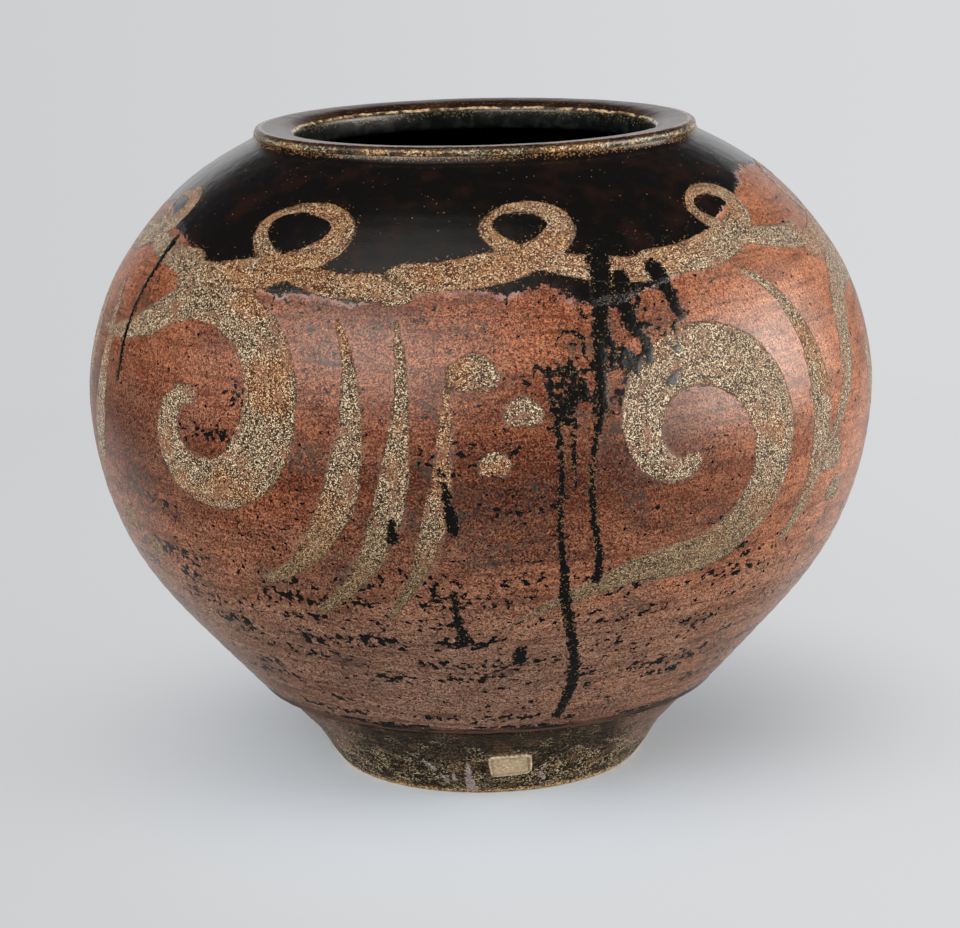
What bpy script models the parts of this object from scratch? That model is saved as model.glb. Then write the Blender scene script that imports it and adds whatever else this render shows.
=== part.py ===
"""A stoneware jar: a round thrown body on a flared foot, closed in to a wide flat lip.

The jar is modelled the way a potter puts a large one together. A bowl with a floor is thrown first,
a domed shoulder section is luted onto its rim at the widest level, a lip coil is set into the
shoulder's opening, a foot ring is luted round the boss under the floor, and a small clay pad is
pressed onto the foot. Metres, +Z up, the axis is the Z axis and the jar stands on Z = 0.
"""

import math

import bpy
from mathutils import Vector

MM = 0.001

# Fit between the sections, how finely turned shapes are made, and how far their edges are eased
JOINT_GAP = 0.3 * MM
TURN_STEPS = 64
SIDE_STEPS = 12
ROLL_STEPS = 6
MERGE_DISTANCE = 0.01 * MM
SOFT_EDGE = 1.3 * MM

# Jar as a whole
JAR_HEIGHT = 247.7 * MM
BELLY_RADIUS = 150 * MM
BELLY_HEIGHT = 147 * MM

# Body wall
WALL_LOW = 10 * MM
WALL_BELLY = 7.5 * MM
WALL_TOP = 6.5 * MM
FLOOR_THICKNESS = 12 * MM
LUTE_RIDGE = 1.5 * MM

# Lip
MOUTH_RADIUS = 68 * MM
LIP_WIDTH = 15.7 * MM
LIP_THICKNESS = 4.6 * MM
MOUTH_DIP = 2.4 * MM
COLLAR_WALL = 6.5 * MM
CREASE_RUN = 4.4 * MM
CREASE_DROP = 2.1 * MM

# Foot
FOOT_HEIGHT = 32.2 * MM
FOOT_BOTTOM_RADIUS = 59.9 * MM
FOOT_TOP_RADIUS = 83.4 * MM
FOOT_RIM_WIDTH = 9.5 * MM
FOOT_SEAT_WIDTH = 16 * MM
BOSS_DEPTH = 9 * MM
GROOVE_DEPTH = 2 * MM
GROOVE_HEIGHT = 2.4 * MM
LEDGE_STEP = 5.7 * MM

# Clay pad on the foot
PAD_WIDTH = 15.5 * MM
PAD_RISE = 10.6 * MM
PAD_LEVEL = 15.3 * MM
PAD_THICKNESS = 1.3 * MM
PAD_BORDER = 1.4 * MM
PAD_RECESS = 0.5 * MM
PAD_EDGE = 0.4 * MM
PAD_STEPS = 8
PAD_BEARING = math.radians(-84)

# Side of the body, from the ledge above the foot to the crease under the lip. Each point is a
# share of the height to the belly and of the radius gained there, and then the same on the way in.
RISING_SIDE_SHARES = ((0, 0), (0.19, 0.315), (0.37, 0.6), (0.545, 0.803), (0.76, 0.943))
CLOSING_SIDE_SHARES = ((0, 1), (0.26, 0.948), (0.51, 0.798), (0.75, 0.527), (0.9, 0.262), (1, 0))
FOOT_SIDE_SHARES = ((0, 0), (0.25, 0.185), (0.5, 0.4), (0.75, 0.7), (1, 1))
FOOT_HOLLOW_SHARES = (0.5, 0.67)
LIP_CROWN_SHARE = 0.76
RIDGE_WIDTH_SHARE = 0.5

# Levels and radii that follow from the sizes above
LIP_RADIUS = MOUTH_RADIUS + LIP_WIDTH
CROWN_RADIUS = MOUTH_RADIUS + LIP_WIDTH * LIP_CROWN_SHARE
LIP_UNDERSIDE = JAR_HEIGHT - LIP_THICKNESS
SHOULDER_SEAT = LIP_UNDERSIDE - JOINT_GAP
SHOULDER_RADIUS = LIP_RADIUS + CREASE_RUN
SHOULDER_HEIGHT = SHOULDER_SEAT - CREASE_DROP
LEDGE_HEIGHT = FOOT_HEIGHT + GROOVE_HEIGHT / 2
LEDGE_RADIUS = FOOT_TOP_RADIUS + LEDGE_STEP
FOOT_SHOULDER = FOOT_HEIGHT - GROOVE_HEIGHT / 2
BOSS_RADIUS = FOOT_TOP_RADIUS - GROOVE_DEPTH - FOOT_SEAT_WIDTH
BOSS_LEVEL = FOOT_HEIGHT - BOSS_DEPTH
FLOOR_LEVEL = BOSS_LEVEL + FLOOR_THICKNESS


def smooth_curve(points, steps):
    """Points on a smooth curve through the given (radius, height) points, steps to each span."""
    ends = [2 * points[0] - points[1]] + list(points) + [2 * points[-1] - points[-2]]
    curve = []
    for before, start, end, after in zip(ends, ends[1:], ends[2:], ends[3:]):
        for step in range(steps):
            t = step / steps
            bend = (2 * before - 5 * start + 4 * end - after) * t * t
            twist = (3 * start - before - 3 * end + after) * t ** 3
            curve.append((2 * start + (end - before) * t + bend + twist) / 2)
    curve.append(points[-1].copy())
    return curve


def evenly_spaced(curve, count):
    """The same curve with count + 1 points at equal distances along it."""
    lengths = [0]
    for start, end in zip(curve, curve[1:]):
        lengths.append(lengths[-1] + (end - start).length)
    points = []
    span = 0
    for index in range(count + 1):
        target = lengths[-1] * index / count
        while span < len(curve) - 2 and lengths[span + 1] < target:
            span += 1
        share = (target - lengths[span]) / (lengths[span + 1] - lengths[span])
        points.append(curve[span].lerp(curve[span + 1], share))
    return points


def side_curve():
    """The body's outer side, from the ledge over the foot up to the crease under the lip."""
    gain = BELLY_RADIUS - LEDGE_RADIUS
    rise = BELLY_HEIGHT - LEDGE_HEIGHT
    points = [
        Vector((LEDGE_RADIUS + gain * across, LEDGE_HEIGHT + rise * up))
        for up, across in RISING_SIDE_SHARES
    ]
    gain = BELLY_RADIUS - SHOULDER_RADIUS
    rise = SHOULDER_HEIGHT - BELLY_HEIGHT
    points += [
        Vector((SHOULDER_RADIUS + gain * across, BELLY_HEIGHT + rise * up))
        for up, across in CLOSING_SIDE_SHARES
    ]
    return smooth_curve(points, SIDE_STEPS)


def split_side():
    """The side curve as its rising and its closing half, each with evenly spaced points."""
    curve = side_curve()
    widest = len(RISING_SIDE_SHARES) * SIDE_STEPS
    return evenly_spaced(curve[:widest + 1], SIDE_STEPS), evenly_spaced(curve[widest:], SIDE_STEPS)


def inner_side(outer, wall_start, wall_end):
    """The inside of a wall: every second outer point moved in, at right angles to the side."""
    inner = []
    for index in range(0, len(outer), 2):
        before = outer[max(index - 1, 0)]
        after = outer[min(index + 1, len(outer) - 1)]
        along = (after - before).normalized()
        inward = Vector((-along.y, along.x))
        wall = wall_start + (wall_end - wall_start) * index / (len(outer) - 1)
        inner.append(outer[index] + inward * wall)
    return inner


def foot_side():
    """The flared outer side of the foot, from the floor up to the groove under the body."""
    gain = FOOT_TOP_RADIUS - FOOT_BOTTOM_RADIUS
    points = [
        Vector((FOOT_BOTTOM_RADIUS + gain * across, FOOT_SHOULDER * up))
        for up, across in FOOT_SIDE_SHARES
    ]
    return smooth_curve(points, SIDE_STEPS)


def lute_ridge(lift):
    """The low ridge on the bowl's rim that keys the shoulder section, from outside to inside."""
    middle = BELLY_RADIUS - WALL_BELLY / 2
    half = WALL_BELLY * RIDGE_WIDTH_SHARE / 2
    level = BELLY_HEIGHT + lift
    return [
        Vector((middle + half, level)),
        Vector((middle, level + LUTE_RIDGE)),
        Vector((middle - half, level)),
    ]


def collection(name):
    made = bpy.data.collections.new(name)
    bpy.context.scene.collection.children.link(made)
    return made


def clay_material(name, colour, roughness):
    made = bpy.data.materials.new(name)
    made.use_nodes = True
    shader = made.node_tree.nodes["Principled BSDF"]
    shader.inputs["Base Color"].default_value = (*colour, 1)
    shader.inputs["Roughness"].default_value = roughness
    shader.inputs["Metallic"].default_value = 0
    made.diffuse_color = (*colour, 1)
    return made


def profile_object(name, profile, closed):
    """An object whose mesh is a (radius, height) outline in the XZ plane."""
    mesh = bpy.data.meshes.new(name)
    count = len(profile)
    edges = [(index, (index + 1) % count) for index in range(count if closed else count - 1)]
    mesh.from_pydata([(point[0], 0, point[1]) for point in profile], edges, [])
    return bpy.data.objects.new(name, mesh)


def screw(obj, angle, steps):
    turn = obj.modifiers.new("Turn", "SCREW")
    turn.axis = "Z"
    turn.angle = angle
    turn.steps = steps
    turn.render_steps = steps
    turn.use_merge_vertices = angle == math.tau
    turn.merge_threshold = MERGE_DISTANCE
    turn.use_smooth_shade = True
    return turn


def opened_on_axis(profile):
    """The same outline, cut open where it runs along the axis, so that it starts and ends there."""
    start = next(index for index, point in enumerate(profile) if point.x == 0) + 1
    return profile[start:] + profile[:start]


def turned(name, profile, closed, material):
    """A turned piece: its profile runs down the outer side and back up the inside."""
    obj = profile_object(name, profile, closed)
    screw(obj, math.tau, TURN_STEPS)
    obj.data.materials.append(material)
    jar.objects.link(obj)
    obj.parent = jar_axis
    return obj


def lower_body():
    """The thrown bowl, with its floor, the boss that the foot goes round, and the keyed rim."""
    rising, _ = split_side()
    outer = rising[::-1]
    inner = inner_side(rising, WALL_LOW, WALL_BELLY)
    inner[-1] = Vector((BELLY_RADIUS - WALL_BELLY, BELLY_HEIGHT))
    under = FOOT_HEIGHT + JOINT_GAP
    boss_edge = SOFT_EDGE / 2
    profile = outer + [
        Vector((LEDGE_RADIUS - LEDGE_STEP - GROOVE_DEPTH, under)),
        Vector((BOSS_RADIUS, under)),
        Vector((BOSS_RADIUS, BOSS_LEVEL + boss_edge)),
        Vector((BOSS_RADIUS - boss_edge, BOSS_LEVEL)),
        Vector((0, BOSS_LEVEL)),
        Vector((0, FLOOR_LEVEL)),
        Vector((BOSS_RADIUS, FLOOR_LEVEL)),
        (inner[0] + Vector((inner[0].x, FLOOR_LEVEL))) / 2,
    ]
    profile += inner + lute_ridge(0)[::-1]
    glaze = clay_material("rust_glaze", (0.19, 0.055, 0.03), 0.45)
    return turned("lower_body", opened_on_axis(profile), False, glaze)


def upper_body():
    """The shoulder section, from the keyed joint at the belly up to the seat for the lip."""
    _, closing = split_side()
    bore = MOUTH_RADIUS + COLLAR_WALL + JOINT_GAP
    inner = inner_side(closing, WALL_BELLY, WALL_TOP)
    base = BELLY_HEIGHT + JOINT_GAP
    outer = closing[::-1]
    outer[-1] = Vector((BELLY_RADIUS, base))
    inner[0] = Vector((BELLY_RADIUS - WALL_BELLY, base))
    seat_edge = LIP_RADIUS - CREASE_DROP / 2
    profile = [Vector((bore, SHOULDER_SEAT)), Vector((seat_edge, SHOULDER_SEAT))]
    profile.append(Vector((LIP_RADIUS, SHOULDER_SEAT - CREASE_DROP / 4)))
    profile += outer + lute_ridge(JOINT_GAP) + inner
    profile.append(Vector((bore, SHOULDER_SEAT - WALL_TOP)))
    return turned("upper_body", profile, True, clay_material("black_glaze", (0.03, 0.02, 0.015), 0.2))


def lip_ring():
    """The flat lip with its collar, which drops into the shoulder's opening."""
    collar = MOUTH_RADIUS + COLLAR_WALL
    mouth_level = JAR_HEIGHT - MOUTH_DIP
    collar_foot = SHOULDER_SEAT - WALL_TOP
    roll = LIP_THICKNESS / 2
    roll_centre = Vector((LIP_RADIUS - roll, JAR_HEIGHT - roll))
    profile = [Vector((CROWN_RADIUS, JAR_HEIGHT))]
    for step in range(1, ROLL_STEPS):
        turn = math.pi / 2 - math.pi * step / ROLL_STEPS
        profile.append(roll_centre + roll * Vector((math.cos(turn), math.sin(turn))))
    profile += [
        Vector((roll_centre.x, LIP_UNDERSIDE)),
        Vector((collar, LIP_UNDERSIDE)),
        Vector((collar, collar_foot)),
        Vector((MOUTH_RADIUS + SOFT_EDGE, collar_foot)),
        Vector((MOUTH_RADIUS, collar_foot + SOFT_EDGE)),
        Vector((MOUTH_RADIUS, mouth_level - MOUTH_DIP)),
        Vector((MOUTH_RADIUS + MOUTH_DIP / 4, mouth_level - MOUTH_DIP / 4)),
        Vector((MOUTH_RADIUS + MOUTH_DIP, mouth_level + MOUTH_DIP / 4)),
        Vector(((MOUTH_RADIUS + CROWN_RADIUS) / 2, JAR_HEIGHT - MOUTH_DIP / 4)),
    ]
    return turned("lip_ring", profile, True, clay_material("lip_glaze", (0.05, 0.035, 0.025), 0.15))


def foot_ring():
    """The flared foot: a flat rim to stand on, a hollow inside and a seat for the body on top."""
    side = evenly_spaced(foot_side(), SIDE_STEPS // 2)
    bore = BOSS_RADIUS + JOINT_GAP
    outer = side[::-1]
    outer[-1] = Vector((FOOT_BOTTOM_RADIUS, SOFT_EDGE))
    rim_outer = FOOT_BOTTOM_RADIUS - SOFT_EDGE
    rim_inner = rim_outer - FOOT_RIM_WIDTH
    bend_out, bend_up = FOOT_HOLLOW_SHARES
    hollow_bend = Vector((rim_inner + (bore - rim_inner) * bend_out, BOSS_LEVEL * bend_up))
    profile = [
        Vector((bore, FOOT_HEIGHT)),
        Vector((FOOT_TOP_RADIUS - GROOVE_DEPTH, FOOT_HEIGHT)),
    ]
    profile += outer + [
        Vector((rim_outer, 0)),
        Vector((rim_inner, 0)),
        Vector((rim_inner - SOFT_EDGE, SOFT_EDGE)),
        hollow_bend,
        Vector((bore, BOSS_LEVEL - JOINT_GAP)),
    ]
    return turned("foot_ring", profile, True, clay_material("foot_glaze", (0.055, 0.042, 0.03), 0.5))


def pad_patch(name, lift, border, thickness):
    """A curved patch that follows the foot's side, as thick as given and lift proud of the foot."""
    low = PAD_LEVEL - PAD_RISE / 2 + border
    high = PAD_LEVEL + PAD_RISE / 2 - border
    side = foot_side()
    outline = []
    for step in range(PAD_STEPS // 2 + 1):
        level = low + (high - low) * step / (PAD_STEPS // 2)
        span = next(index for index, point in enumerate(side[1:]) if point.y >= level)
        start, end = side[span], side[span + 1]
        along = end - start
        outward = Vector((along.y, -along.x)).normalized()
        point = start.lerp(end, (level - start.y) / along.y)
        outline.append(point + outward * lift)
    centre = outline[len(outline) // 2]
    angle = (PAD_WIDTH - 2 * border) / centre.x
    patch = profile_object(name, outline[::-1], False)
    screw(patch, angle, PAD_STEPS)
    patch.rotation_euler.z = PAD_BEARING - angle / 2
    wall = patch.modifiers.new("Clay", "SOLIDIFY")
    wall.thickness = thickness
    wall.offset = 1
    wall.use_even_offset = True
    patch.parent = jar_axis
    return patch


def seal_pad():
    """The small clay pad on the foot, a plain sunk panel inside a raised border."""
    pad = pad_patch("seal_pad", JOINT_GAP, 0, PAD_THICKNESS)
    soften = pad.modifiers.new("Soften", "BEVEL")
    soften.width = PAD_EDGE
    soften.segments = 2
    panel_lift = JOINT_GAP + PAD_THICKNESS - PAD_RECESS
    panel = pad_patch("seal_panel_cutter", panel_lift, PAD_BORDER, PAD_THICKNESS)
    panel.hide_render = True
    panel.display_type = "WIRE"
    cutters.objects.link(panel)
    sink = pad.modifiers.new("Panel", "BOOLEAN")
    sink.operation = "DIFFERENCE"
    sink.object = panel
    pad.data.materials.append(clay_material("pale_clay", (0.46, 0.37, 0.24), 0.6))
    jar.objects.link(pad)
    return pad


for leftover in list(bpy.data.objects):
    bpy.data.objects.remove(leftover, do_unlink=True)

jar = collection("stoneware_jar")
cutters = collection("cutters")
jar_axis = bpy.data.objects.new("jar_axis", None)
jar.objects.link(jar_axis)

for piece in (foot_ring(), lower_body(), upper_body(), lip_ring(), seal_pad()):
    print("made", piece.name)
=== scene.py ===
# %% [markdown]
# # A round-bellied stoneware jar in a rust-red iron glaze
#
# The real jar was thrown on a wheel in sections, luted together, brushed, glazed and fired. Its
# looks come from two things: a turned form that is never quite true, and a thick iron glaze that
# stays black where it pooled and breaks to rust red where it is thin. This lesson builds both. It
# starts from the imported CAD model, which fixes every size, and dresses it piece by piece.

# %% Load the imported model
import math

import bpy
import numpy as np
from mathutils import Matrix, Vector


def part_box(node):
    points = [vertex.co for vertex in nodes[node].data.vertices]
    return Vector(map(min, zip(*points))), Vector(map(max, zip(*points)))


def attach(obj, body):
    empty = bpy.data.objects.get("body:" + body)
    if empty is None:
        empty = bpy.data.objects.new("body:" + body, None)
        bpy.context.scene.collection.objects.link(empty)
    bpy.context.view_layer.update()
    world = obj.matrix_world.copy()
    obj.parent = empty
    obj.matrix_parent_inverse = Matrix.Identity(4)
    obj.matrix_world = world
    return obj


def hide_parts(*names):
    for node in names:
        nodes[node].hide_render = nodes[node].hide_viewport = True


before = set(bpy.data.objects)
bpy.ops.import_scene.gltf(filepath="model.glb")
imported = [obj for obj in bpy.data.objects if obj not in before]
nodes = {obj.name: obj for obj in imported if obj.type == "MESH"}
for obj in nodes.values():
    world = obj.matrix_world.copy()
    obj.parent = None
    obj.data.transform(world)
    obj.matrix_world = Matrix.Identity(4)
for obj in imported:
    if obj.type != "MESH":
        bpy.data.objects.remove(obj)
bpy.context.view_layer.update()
print("solids:", ", ".join(sorted(nodes)))

# %% [markdown]
# ## The view
#
# The photographer stood back with a long lens and looked down at the jar, which shows the oval of
# the mouth. The camera's distance, height and tilt come from fitting the ovals of the mouth, the
# belly and the foot together. A long lens far away keeps the far rim nearly as wide as the near
# one.

# %% Place the camera
scene = bpy.context.scene
scene.view_settings.view_transform = "Standard"

CAMERA_PLACE = (-0.00104, -1.09987, 0.37061)
CAMERA_TILT = 0.2292
CAMERA_ROLL = -0.0239
LENS = 108.9

camera_data = bpy.data.cameras.new("camera")
camera_data.lens = LENS
camera_data.sensor_width = 36
camera_data.clip_end = 60
camera = bpy.data.objects.new("camera", camera_data)
scene.collection.objects.link(camera)
camera.matrix_world = (
    Matrix.Translation(CAMERA_PLACE)
    @ Matrix.Rotation(math.pi / 2 - CAMERA_TILT, 4, "X")
    @ Matrix.Rotation(CAMERA_ROLL, 4, "Z")
)
scene.camera = camera
print("camera distance:", round(Vector(CAMERA_PLACE).length, 3), "m")

# %% [markdown]
# ## Sections read from the solids
#
# A thrown pot is a section turned about an axis, so each piece here is one too. The section is not
# typed in again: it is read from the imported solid, by keeping the points that lie in one
# half-plane through the axis and walking along the edges between them. The looks then always fit
# the solids. From here on lengths are in millimetres, as a potter would measure them.

# %% Read a solid's section
MM = 1000
IN_PLANE = 0.05


def section(node):
    """The node's section as (radius, height) points, walked with the outer side going up."""
    mesh = nodes[node].data
    points = {}
    for vertex in mesh.vertices:
        x, y, z = vertex.co * MM
        if x > 0 and abs(y) < IN_PLANE:
            points[vertex.index] = (round(x, 2), round(z, 2))
    neighbours = {}
    for edge in mesh.edges:
        ends = [points.get(index) for index in edge.vertices]
        if None not in ends and ends[0] != ends[1]:
            neighbours.setdefault(ends[0], []).append(ends[1])
            neighbours.setdefault(ends[1], []).append(ends[0])
    loose = [point for point in neighbours if len(set(neighbours[point])) == 1]
    walk = [min(loose, key=lambda point: point[1]) if loose else max(neighbours)]
    while True:
        ahead = [point for point in neighbours[walk[-1]] if point not in walk]
        if not ahead:
            break
        walk.append(max(ahead, key=lambda point: point[0]) if len(walk) == 1 else ahead[0])
    turning = sum(a[0] * b[1] - b[0] * a[1] for a, b in zip(walk, walk[1:] + walk[:1]))
    return walk if turning > 0 or loose else walk[:1] + walk[:0:-1]


bowl_section = section("lower_body")
shoulder_section = section("upper_body")
lip_section = section("lip_ring")
foot_section = section("foot_ring")
print("section points:", len(bowl_section), len(shoulder_section), len(lip_section),
      len(foot_section))

# %% [markdown]
# ## Smooth curves through few points
#
# The solids carry a point every centimetre or so. A smooth curve through those points gives as
# many rows as the glaze needs. Catmull-Rom is used because it passes through every given point.

# %% Draw a smooth curve and space it evenly
def smooth(points, per_span=24):
    """Many points on a Catmull-Rom curve through the given ones."""
    ctrl = np.array(points, float)
    ctrl = np.vstack([2 * ctrl[0] - ctrl[1], ctrl, 2 * ctrl[-1] - ctrl[-2]])
    t = np.linspace(0, 1, per_span, endpoint=False)[:, None]
    spans = [
        0.5 * (2 * b + (c - a) * t + (2 * a - 5 * b + 4 * c - d) * t**2
               + (3 * b - a - 3 * c + d) * t**3)
        for a, b, c, d in zip(ctrl, ctrl[1:], ctrl[2:], ctrl[3:])
    ]
    return np.vstack(spans + [ctrl[-2:-1]])


def lengths_along(points):
    """How far along a line each of its points is."""
    steps = np.linalg.norm(np.diff(points, axis=0), axis=1)
    return np.concatenate([[0], np.cumsum(steps)])


def spaced(points, count):
    """`count` points at equal steps along a line."""
    points = np.array(points, float)
    along = lengths_along(points)
    at = np.linspace(0, along[-1], count)
    return np.column_stack([np.interp(at, along, values) for values in points.T])


belly_height = (max(z for r, z in bowl_section if r == max(bowl_section)[0])
                + min(z for r, z in shoulder_section)) / 2
print("the belly's joint is at", round(belly_height, 2), "mm")

# %% [markdown]
# ## The outer skin of the body
#
# Bowl and shoulder meet at the belly, and nothing shows there on the fired jar. So their outer
# skin is made once, as a single grid from the ledge over the foot to the crease under the lip, and
# is cut in two afterwards. Both pieces then share the very same ring of points and the same
# shading at it. The last rows climb onto the lip, as the glaze does that pooled in the crease.

# %% Lay out the rows and columns of the skin
COLUMNS = 840
BOWL_ROWS = 101
SHOULDER_ROWS = 97
CLIMB_ONTO_LIP = [(85.9, 241.7), (84.6, 242.8), (83.9, 244.4)]

widest = max(r for r, z in bowl_section)
ledge_at = next(i for i, (r, z) in enumerate(bowl_section) if r == bowl_section[3][0])
belly_at = next(i for i, (r, z) in enumerate(bowl_section) if r == widest)
bowl_side = bowl_section[ledge_at + 1:belly_at]
top_at = max(range(len(shoulder_section)), key=lambda i: shoulder_section[i][1])
while shoulder_section[top_at - 1][1] == shoulder_section[top_at][1]:
    top_at -= 1
shoulder_side = shoulder_section[1:top_at - 1] + CLIMB_ONTO_LIP

side = smooth(bowl_side + [(widest, belly_height)] + shoulder_side)
joint = int(np.argmin(np.abs(side[:, 1] - belly_height)))
bowl_rows = spaced(side[:joint + 1], BOWL_ROWS)
shoulder_rows = spaced(side[joint:], SHOULDER_ROWS)
skin_rows = np.vstack([bowl_rows, shoulder_rows[1:]])
row_gap = lengths_along(skin_rows)[-1] / len(skin_rows)
print("skin rows:", len(skin_rows), "about", round(row_gap, 2), "mm apart")

# %% [markdown]
# ## Unevenness that never repeats
#
# Clay and glaze vary at every scale, from the slow wobble of the wall to the grain of the glaze.
# Smooth noise on a lattice gives this: each lattice corner has a fixed pseudo-random value, and
# the places between are blended. It is read in three dimensions, so it has no seam round the jar,
# and the values come from whole-number mixing, so every run gives the same jar.

# %% Write the noise
WORD = 0xFFFFFFFF


def corner_values(cells, seed):
    """A fixed value from 0 to 1 for each whole-numbered lattice cell."""
    whole = (cells.astype(np.int64) & WORD).astype(np.uint64)
    x, y, z = whole[..., 0], whole[..., 1], whole[..., 2]
    mix = x * 0x9E3779B1 ^ y * 0x85EBCA77 ^ z * 0xC2B2AE3D ^ np.uint64(seed * 0x27D4EB2F)
    mix = mix & WORD
    for shift, factor in ((15, 0x2C1B3C6D), (12, 0x297A2D39), (15, 1)):
        mix = ((mix ^ (mix >> np.uint64(shift))) * np.uint64(factor)) & np.uint64(WORD)
    return mix.astype(float) / 2**32


def drift(points, size, seed, layers=1):
    """Smooth noise from about -1 to 1 which changes over `size` mm, with finer layers on top."""
    total, reach = 0, 0
    for layer in range(layers):
        scaled = points / (np.asarray(size) / 2**layer)
        base = np.floor(scaled)
        part = scaled - base
        part = part * part * (3 - 2 * part)
        value = 0
        for corner in np.ndindex(2, 2, 2):
            weight = np.prod(np.where(corner, part, 1 - part), axis=-1)
            value = value + weight * corner_values(base + corner, seed + 31 * layer)
        total = total + (2 * value - 1) * 0.5**layer
        reach += 0.5**layer
    return total / reach


def ramp(value, low, high):
    """0 below low, 1 above high, with a soft rise between."""
    t = np.clip((value - low) / (high - low), 0, 1)
    return t * t * (3 - 2 * t)


# %% [markdown]
# ## A skin that knows its own surface
#
# The glaze of the body, the lip and the foot is laid out in the same way, so one small class holds
# what that needs: the rows, the grid of points, which way each point faces, and how to follow a
# line over the surface. Bearing 0 is the front, and bearings grow towards the right.

# %% Define a turned skin
STEP = 0.5
MARGIN = 7
BATCH = 8000


def turned(rows, columns):
    """A (rows, columns, 3) grid of points from (radius, height) rows."""
    rows = np.array(rows, float)
    angles = np.linspace(-math.pi, math.pi, columns, endpoint=False)
    return np.stack([
        rows[:, :1] * np.sin(angles), -rows[:, :1] * np.cos(angles), rows[:, 1:] + 0 * angles
    ], axis=-1)


class Skin:
    """The glazed outside of a turned piece, before its relief."""

    def __init__(self, rows, columns):
        self.rows = rows
        self.climb = lengths_along(rows)
        self.grid = turned(rows, columns)
        self.points = self.grid.reshape(-1, 3)
        run = np.gradient(rows, axis=0)
        run /= np.linalg.norm(run, axis=1)[:, None]
        angles = np.linspace(-math.pi, math.pi, columns, endpoint=False)
        self.normals = np.stack([
            run[:, 1:] * np.sin(angles), -run[:, 1:] * np.cos(angles), -run[:, :1] + 0 * angles
        ], axis=-1).reshape(-1, 3)
        self.angles = np.tile(np.degrees(angles), len(rows))
        self.climbs = np.repeat(self.climb, columns)
        self.heights = self.points[:, 2]

    def blank(self, value=-30.0):
        return np.full(len(self.points), value)

    def at(self, angle, climb):
        """The point at a bearing in degrees and a distance climbed in mm."""
        radius = np.interp(climb, self.climb, self.rows[:, 0])
        height = np.interp(climb, self.climb, self.rows[:, 1])
        turn = np.radians(angle)
        return np.stack([radius * np.sin(turn), -radius * np.cos(turn), height], axis=-1)

    def climb_at(self, height):
        return np.interp(height, self.rows[:, 1], self.climb)

    def unrolled(self, angle, height, across, up):
        """(bearing, climb) of points given in mm across and up from one place on the wall."""
        climb = self.climb_at(height) + np.asarray(up)
        radius = np.interp(climb, self.climb, self.rows[:, 0])
        return angle + np.degrees(np.asarray(across) / radius), climb

    def off_spot(self, angle, level, wide, tall):
        """How far each point is from a spot on the wall, squared, with 1 at the spot's edge."""
        return ((self.angles - angle) / wide) ** 2 + ((self.heights - level) / tall) ** 2

    def stroke(self, field, angles, climbs, half_widths, along=None, across=None):
        """Adds a stroke to a field of signed distances, in place, where it is the nearer one."""
        widths = spaced(np.array(half_widths, float)[:, None], len(angles))
        path = smooth(np.column_stack([angles, climbs, widths]), 8)
        centre = self.at(path[:, 0], path[:, 1])
        count = max(2, int(lengths_along(centre)[-1] / STEP))
        path = spaced(np.column_stack([centre, path[:, 2]]), count)
        centre, half = path[:, :3], path[:, 3]
        reach = half.max() + MARGIN
        inside_box = (self.points > centre.min(0) - reach) & (self.points < centre.max(0) + reach)
        near = np.flatnonzero(inside_box.all(axis=1))
        heading = np.gradient(centre, axis=0)
        heading /= np.linalg.norm(heading, axis=1)[:, None] + 1e-9
        for start in range(0, len(near), BATCH):
            some = near[start:start + BATCH]
            gap = np.linalg.norm(self.points[some][:, None, :] - centre[None], axis=2)
            inside = half - gap
            best = np.argmax(inside, axis=1)
            value = inside[np.arange(len(some)), best]
            better = value > field[some]
            chosen, best = some[better], best[better]
            field[chosen] = value[better]
            if along is not None:
                sideways = np.cross(self.normals[chosen], heading[best])
                along[chosen] = best * STEP
                across[chosen] = np.sum((self.points[chosen] - centre[best]) * sideways, axis=1)

    def run(self, field, line, half_widths):
        """A stroke through (bearing, height) points."""
        line = np.array(line, float)
        self.stroke(field, line[:, 0], self.climb_at(line[:, 1]), half_widths)

    def shaped(self, relief):
        """The grid with its relief in mm, and the normals that shade it."""
        points = (self.points + relief[:, None] * self.normals).reshape(self.grid.shape)
        around = np.roll(points, -1, axis=1) - np.roll(points, 1, axis=1)
        normals = np.cross(around, np.gradient(points, axis=0))
        return points, normals / np.linalg.norm(normals, axis=-1)[..., None]


body = Skin(skin_rows, COLUMNS)
print("skin points:", len(body.points))

# %% [markdown]
# ## Where the glaze pooled, ran and was brushed
#
# Each feature of the glaze is a signed distance in millimetres, positive inside it: one number per
# point of the skin, which both the mesh and the colours read. The black shoulder comes first. The
# glaze is thickest there and stays black, and its lower edge wanders round the jar, a little lower
# where runs start. The edge is a closed curve through a few bearings and heights, made uneven.

# %% Pour the black shoulder glaze
POOL_EDGE = [(-180, 209), (-150, 203), (-122, 212), (-96, 221), (-74, 221), (-58, 213), (-44, 205),
             (-33, 203),
             (-20, 201), (-8, 206), (2, 203), (10, 205), (18, 198), (27, 203), (38, 213),
             (52, 224), (70, 232),
             (88, 226), (112, 211), (138, 205), (160, 212), (180, 209)]
edge = smooth(POOL_EDGE)
pool = body.climbs - body.climb_at(np.interp(body.angles, edge[:, 0], edge[:, 1]))
pool += 3.4 * drift(body.points, 15, 1, 2) + 1.6 * drift(body.points, 5, 2, 2)
print("black over", round(100 * float(np.mean(pool > 0))), "% of the skin")

# %% [markdown]
# ## Runs and drips
#
# Thick glaze ran down the wall in the kiln. A run is a thin, beaded line that ends in a bulb where
# it froze. Runs are laid as strokes whose half-width swells and pinches. Below the shoulder some
# of them join into a black lace with holes of bare rust.

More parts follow.
